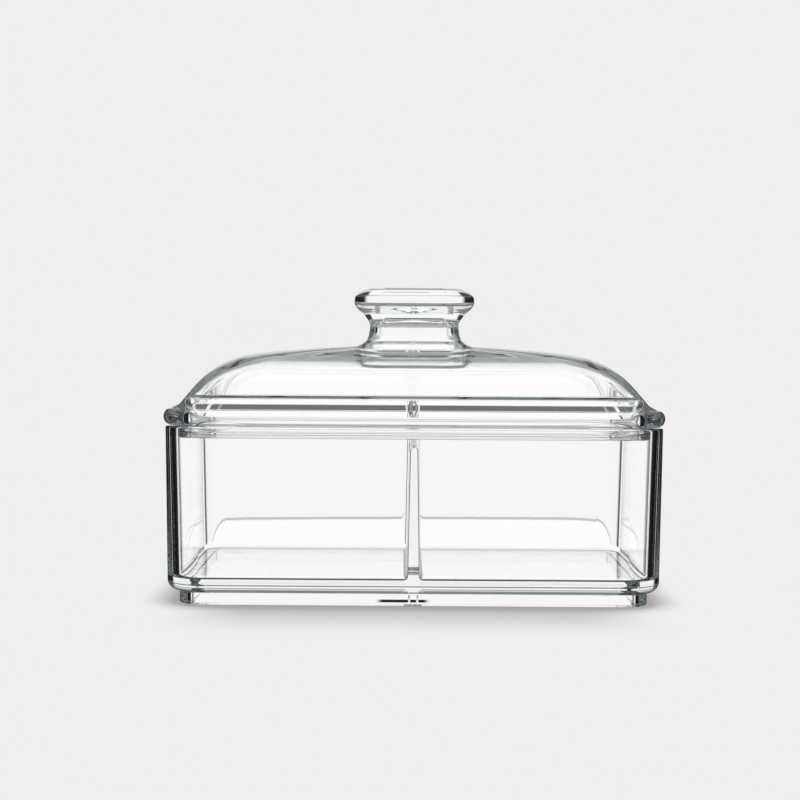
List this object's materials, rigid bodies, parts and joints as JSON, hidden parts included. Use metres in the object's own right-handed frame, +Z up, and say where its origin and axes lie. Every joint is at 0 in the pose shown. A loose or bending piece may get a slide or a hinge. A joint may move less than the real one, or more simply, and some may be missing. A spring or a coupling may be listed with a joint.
{
  "type": "serving box",
  "caption": "Clear rectangular serving box with a divider, an inset foot and a lift-off domed lid that carries a waisted, dished knob.",
  "frame": {"origin": "middle of the underside of the foot, on the plane that the box stands on", "axes": "+X along the long side, +Y from the front face to the back, +Z up out of the box"},
  "size_m": [0.2056, 0.1126, 0.1305],
  "materials": {
    "box_clear": "polished water-clear",
    "lid_clear": "polished water-clear",
    "knob_clear": "polished water-clear"
  },
  "bodies": {
    "box": {"box": "box_clear"},
    "lid": {"lid": "lid_clear", "knob": "knob_clear"}
  },
  "joints": [
    {"name": "lid_lift", "type": "slide", "parent": "box", "child": "lid", "axis": [0, 0, 1], "range_m": [0, 0.08]}
  ]
}
